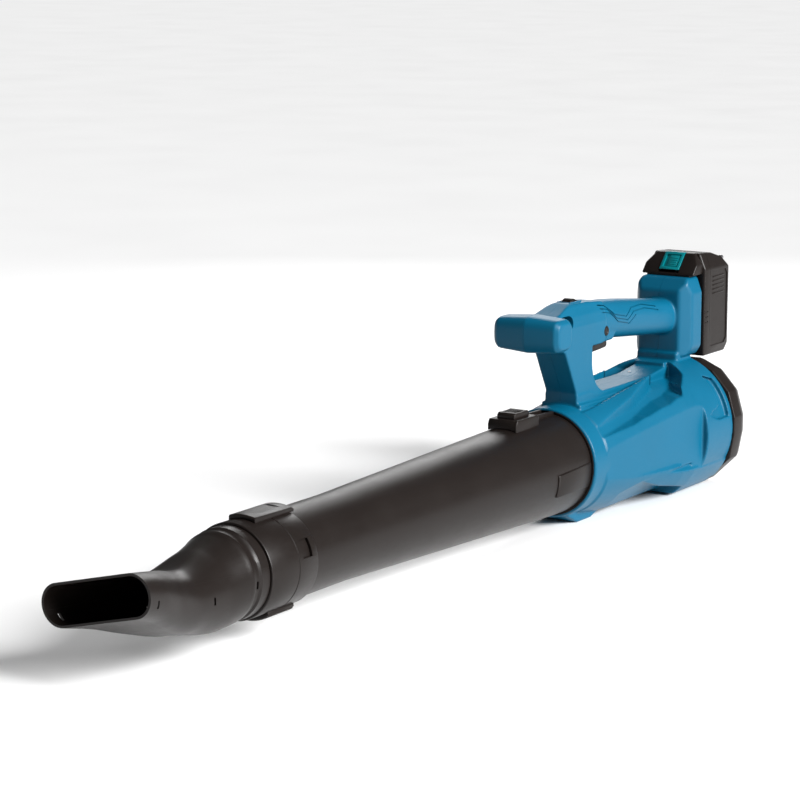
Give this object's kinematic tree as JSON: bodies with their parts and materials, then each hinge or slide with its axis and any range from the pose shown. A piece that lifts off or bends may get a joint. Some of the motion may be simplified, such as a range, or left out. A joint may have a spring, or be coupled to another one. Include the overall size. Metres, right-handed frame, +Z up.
{
  "type": "leaf blower",
  "caption": "Cordless leaf blower with a clamshell fan housing, loop handle with cross bar, slide-on battery, plug-in blow tube and flat twist-on nozzle.",
  "frame": {"origin": "on the floor, in the mirror plane, under the middle of the front foot", "axes": "+X to the tool's left hand side across the mirror plane, +Y along the duct towards the battery and the air intake, +Z up; the nozzle points to -Y"},
  "size_m": [0.172, 1.1675, 0.275],
  "materials": {
    "housing_blue": "satin moulded ABS",
    "black_plastic": "satin moulded black plastic",
    "inner_plastic": "moulded nylon",
    "latch_teal": "satin moulded plastic",
    "rubber": "moulded rubber",
    "steel": "bright zinc plated",
    "spring_steel": "drawn wire",
    "copper": "drawn copper and brass",
    "board": "coated circuit board",
    "wire_red": "insulated wire",
    "cell_wrap": "shrink wrapped cell"
  },
  "bodies": {
    "housing": {"housing_right": "housing_blue", "housing_left": "housing_blue", "outlet_ring": "black_plastic", "rear_ring": "black_plastic", "intake_grille": "black_plastic", "fan_duct": "inner_plastic", "tail_cone": "inner_plastic", "motor_can": "steel", "motor_stator": "copper", "bearings": "steel", "switch_body": "inner_plastic", "trigger_spring": "spring_steel", "dial_bezel": "housing_blue", "speed_sensor": "board", "control_board": "board", "motor_leads": "wire_red", "battery_leads": "wire_red", "switch_leads": "wire_red", "terminal_block": "inner_plastic", "terminal_blades": "copper", "housing_screws": "steel", "ring_screws": "steel"},
    "fan": {"fan_impeller": "inner_plastic", "fan_nut": "steel", "motor_shaft": "steel", "motor_rotor": "steel"},
    "trigger": {"trigger": "black_plastic"},
    "lock_button": {"lock_button": "black_plastic"},
    "speed_dial": {"speed_dial": "black_plastic"},
    "battery": {"battery_case": "black_plastic", "battery_cover": "black_plastic", "battery_cells": "cell_wrap", "cell_holder": "inner_plastic", "battery_board": "board", "battery_contacts": "copper", "battery_screws": "steel", "latch_spring": "spring_steel"},
    "battery_latch": {"battery_latch": "latch_teal"},
    "tube": {"main_tube": "black_plastic", "tube_seal": "rubber", "tube_latch_spring": "spring_steel"},
    "tube_latch": {"tube_latch": "black_plastic"},
    "collar": {"twist_collar": "black_plastic", "collar_clips": "black_plastic"},
    "nozzle": {"nozzle_upper": "black_plastic", "nozzle_lower": "black_plastic"}
  },
  "joints": [
    {"name": "fan_spin", "type": "hinge", "parent": "housing", "child": "fan", "pos_m": [0, 0.165, 0.071], "axis": [0, 1, 0], "continuous": true},
    {"name": "trigger_pull", "type": "slide", "parent": "housing", "child": "trigger", "axis": [0, 0, 1], "range_m": [0, 0.005], "stiffness_N_per_m": 1200, "springref_m": -0.002, "deforming": ["trigger_spring"]},
    {"name": "lock_press", "type": "slide", "parent": "housing", "child": "lock_button", "axis": [-1, 0, 0], "range_m": [0, 0.003], "stiffness_N_per_m": 800, "springref_m": -0.001},
    {"name": "speed_turn", "type": "hinge", "parent": "housing", "child": "speed_dial", "pos_m": [0, 0.005, 0.2402], "axis": [1, 0, 0], "range_deg": [0, 270]},
    {"name": "battery_slide", "type": "slide", "parent": "housing", "child": "battery", "axis": [0, 0, 1], "range_m": [0, 0.1]},
    {"name": "battery_latch_press", "type": "slide", "parent": "battery", "child": "battery_latch", "axis": [0, 0, -1], "range_m": [0, 0.0025], "stiffness_N_per_m": 1500, "springref_m": -0.001, "deforming": ["latch_spring"]},
    {"name": "tube_slide", "type": "slide", "parent": "housing", "child": "tube", "axis": [0, -1, 0], "range_m": [0, 0.08]},
    {"name": "tube_latch_press", "type": "slide", "parent": "tube", "child": "tube_latch", "axis": [0, 0, -1], "range_m": [0, 0.003], "stiffness_N_per_m": 1500, "springref_m": -0.001, "deforming": ["tube_latch_spring"]},
    {"name": "collar_twist", "type": "hinge", "parent": "tube", "child": "collar", "pos_m": [0, -0.601, 0.071], "axis": [0, 1, 0], "range_deg": [0, 30]},
    {"name": "nozzle_slide", "type": "slide", "parent": "collar", "child": "nozzle", "axis": [0, -1, 0], "range_m": [0, 0.06]}
  ]
}
